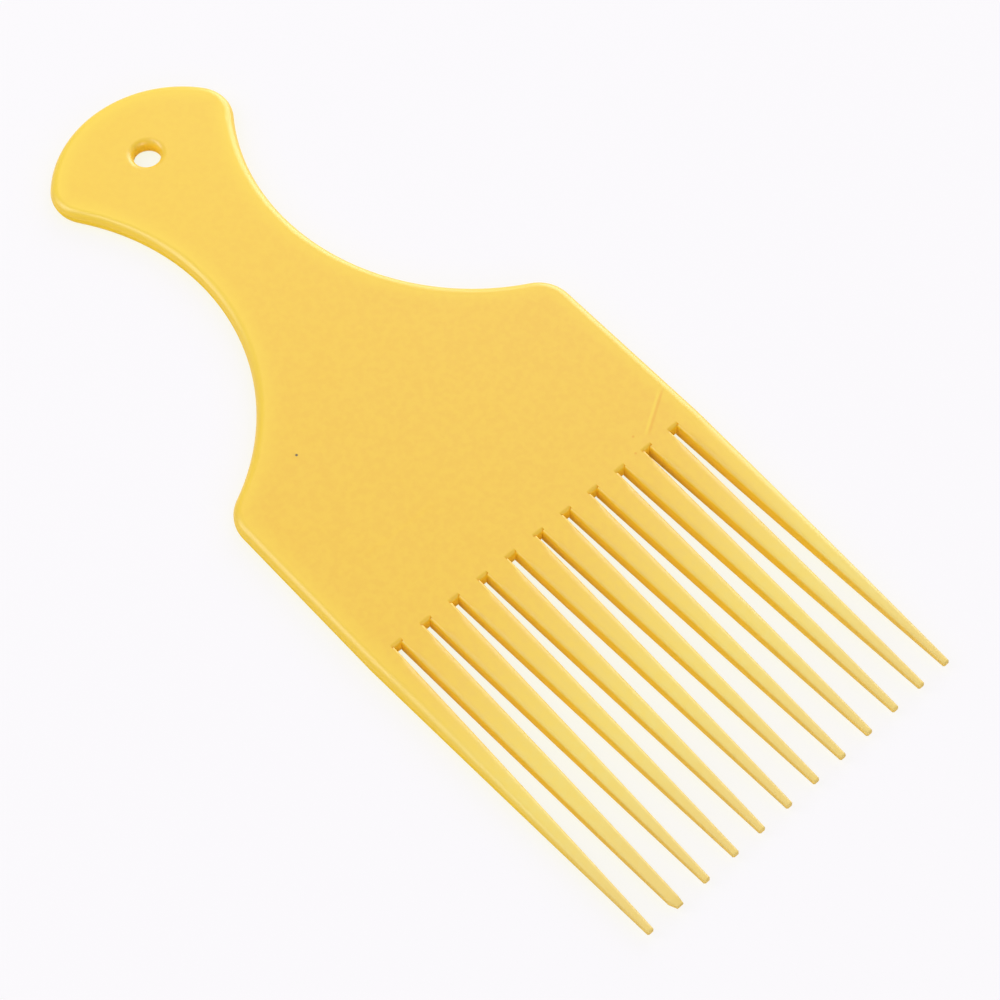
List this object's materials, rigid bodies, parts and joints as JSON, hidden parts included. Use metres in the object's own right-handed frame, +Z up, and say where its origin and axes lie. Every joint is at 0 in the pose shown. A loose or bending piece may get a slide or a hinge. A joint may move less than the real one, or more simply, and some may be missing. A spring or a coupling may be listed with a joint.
{
  "type": "afro pick",
  "caption": "Flat moulded hair pick with a fan-shaped handle end, a hang hole, a narrow waist, sloping shoulders and a row of long tapered teeth.",
  "frame": {"origin": "under the middle of the pick, on the surface that it lies on", "axes": "+X from the handle's end towards the tooth tips, +Y across the teeth, +Z up through the thickness"},
  "size_m": [0.1774, 0.0712, 0.0032],
  "materials": {
    "moulded_plastic": "smooth moulded yellow plastic, semi-gloss"
  },
  "bodies": {
    "root": {"grip": "moulded_plastic", "neck": "moulded_plastic", "comb_back": "moulded_plastic", "tooth_01": "moulded_plastic", "tooth_02": "moulded_plastic", "tooth_03": "moulded_plastic", "tooth_04": "moulded_plastic", "tooth_05": "moulded_plastic", "tooth_06": "moulded_plastic", "tooth_07": "moulded_plastic", "tooth_08": "moulded_plastic", "tooth_09": "moulded_plastic", "tooth_10": "moulded_plastic", "tooth_11": "moulded_plastic", "tooth_12": "moulded_plastic"}
  },
  "joints": []
}
